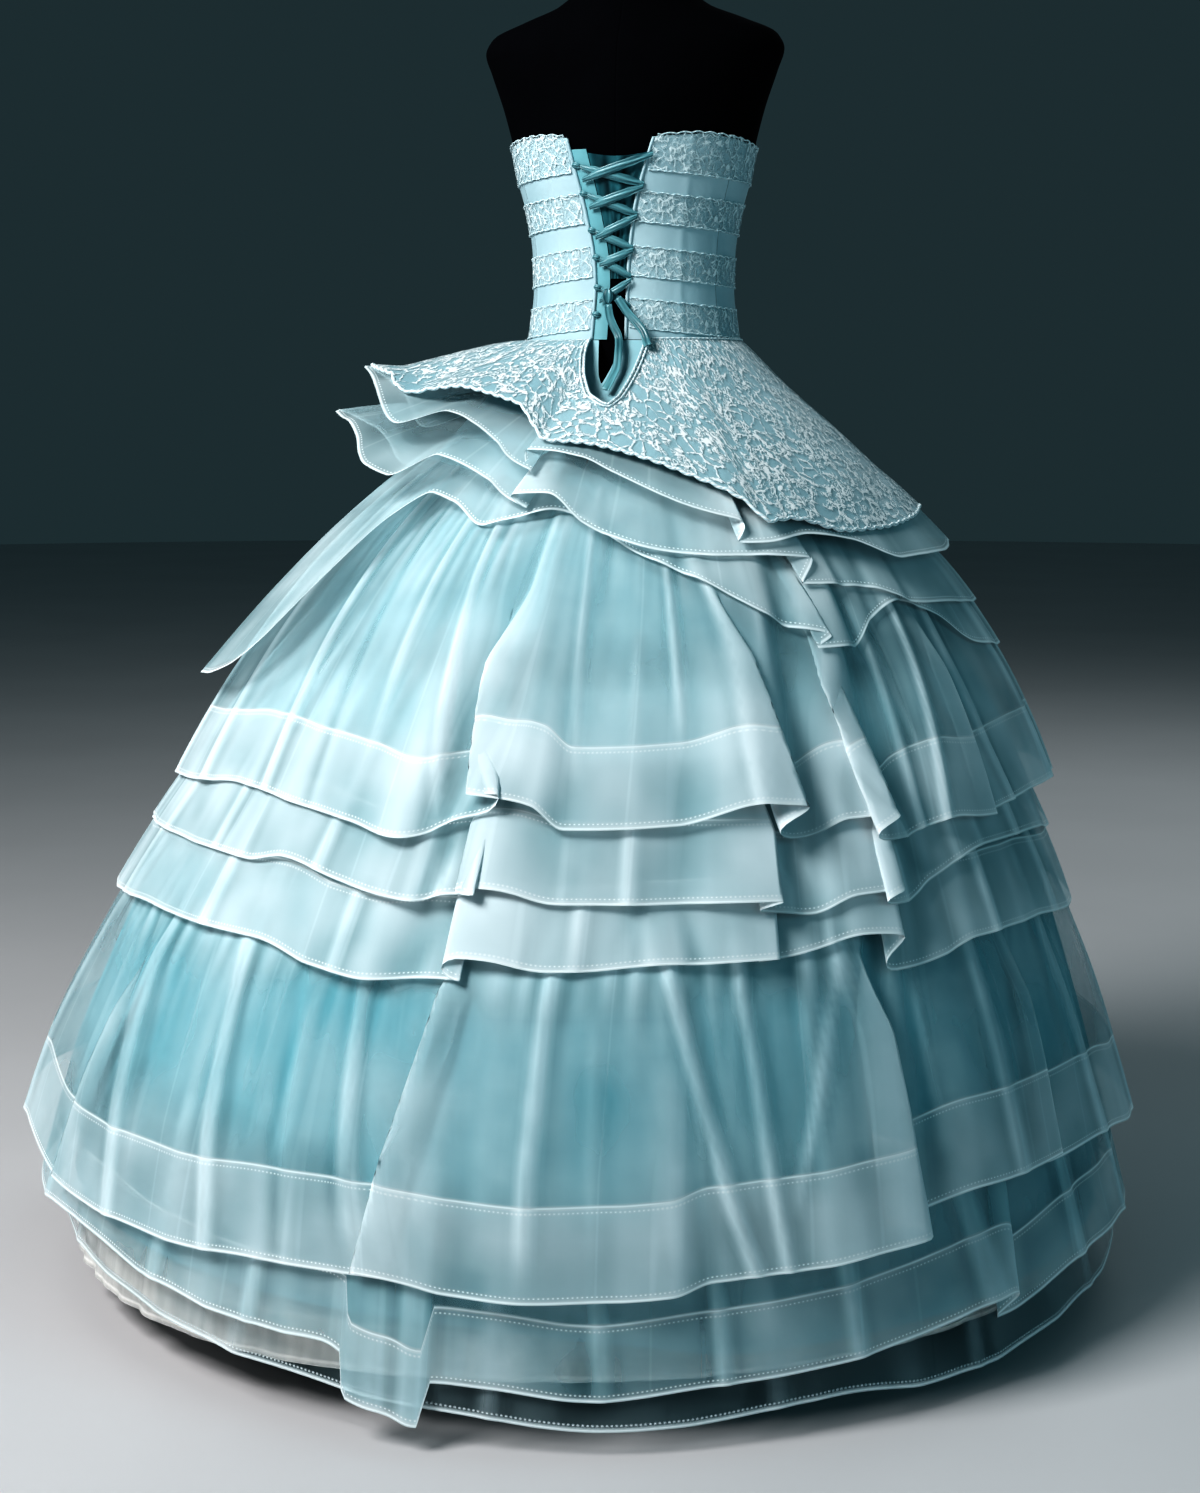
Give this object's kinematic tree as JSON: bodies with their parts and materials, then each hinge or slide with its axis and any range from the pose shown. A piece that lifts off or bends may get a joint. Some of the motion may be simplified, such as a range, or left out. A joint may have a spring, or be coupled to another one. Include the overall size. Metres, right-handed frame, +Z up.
{
  "type": "ball gown on a dress form",
  "caption": "Strapless lace-up ball gown in pale aqua satin, tulle, organza and corded lace, tiered and floor length, on a black limbless dress form.",
  "frame": {"origin": "on the floor, under the middle of the dress form's round base", "axes": "+Z up along the form's pole; the laced centre back faces -Y; +X is towards the right as the laced back is looked at, which is the wearer's right"},
  "size_m": [1.2428, 1.2344, 1.47],
  "materials": {
    "form_cloth": "close black jersey cover, matt",
    "stand_metal": "black powder coat, satin",
    "satin": "aqua duchess satin, soft sheen",
    "tulle": "sheer aqua tulle with doubled organza hem bands",
    "organza": "sheer crisp aqua organza, raw bright edges",
    "white_net": "white stiff net, matt",
    "corded_lace": "white corded floral lace",
    "band_lace": "fine corded lace band",
    "ribbon_satin": "narrow deep teal satin ribbon, soft sheen"
  },
  "bodies": {
    "root": {"bodice_back_left": "satin", "bodice_back_right": "satin", "bodice_front": "satin", "bodice_side_left": "satin", "bodice_side_right": "satin", "form_base": "stand_metal", "form_pole": "stand_metal", "form_torso": "form_cloth", "lace_band_1_left": "band_lace", "lace_band_1_right": "band_lace", "lace_band_2_left": "band_lace", "lace_band_2_right": "band_lace", "lace_band_3_left": "band_lace", "lace_band_3_right": "band_lace", "lace_band_4_left": "band_lace", "lace_band_4_right": "band_lace", "lacing_loop_1": "satin", "lacing_loop_2": "satin", "lacing_loop_3": "satin", "lacing_loop_4": "satin", "lacing_loop_5": "satin", "lacing_loop_6": "satin", "lacing_placket": "satin", "long_net_layer_3": "white_net", "long_tulle_layer_1": "tulle", "long_tulle_layer_2": "tulle", "modesty_panel": "ribbon_satin", "net_petticoat": "white_net", "organza_flounce_1": "organza", "organza_flounce_2": "organza", "organza_flounce_3": "organza", "peplum_lace_left": "corded_lace", "peplum_lace_right": "corded_lace", "peplum_satin": "satin", "ribbon_knot": "ribbon_satin", "ribbon_over_1": "ribbon_satin", "ribbon_over_2": "ribbon_satin", "ribbon_over_3": "ribbon_satin", "ribbon_over_4": "ribbon_satin", "ribbon_over_5": "ribbon_satin", "ribbon_tail_long": "ribbon_satin", "ribbon_tail_short": "ribbon_satin", "ribbon_under_1": "ribbon_satin", "ribbon_under_2": "ribbon_satin", "ribbon_under_3": "ribbon_satin", "ribbon_under_4": "ribbon_satin", "ribbon_under_5": "ribbon_satin", "satin_underskirt": "satin", "tulle_tier_1": "tulle", "tulle_tier_2": "tulle", "tulle_tier_3": "tulle"}
  },
  "joints": []
}
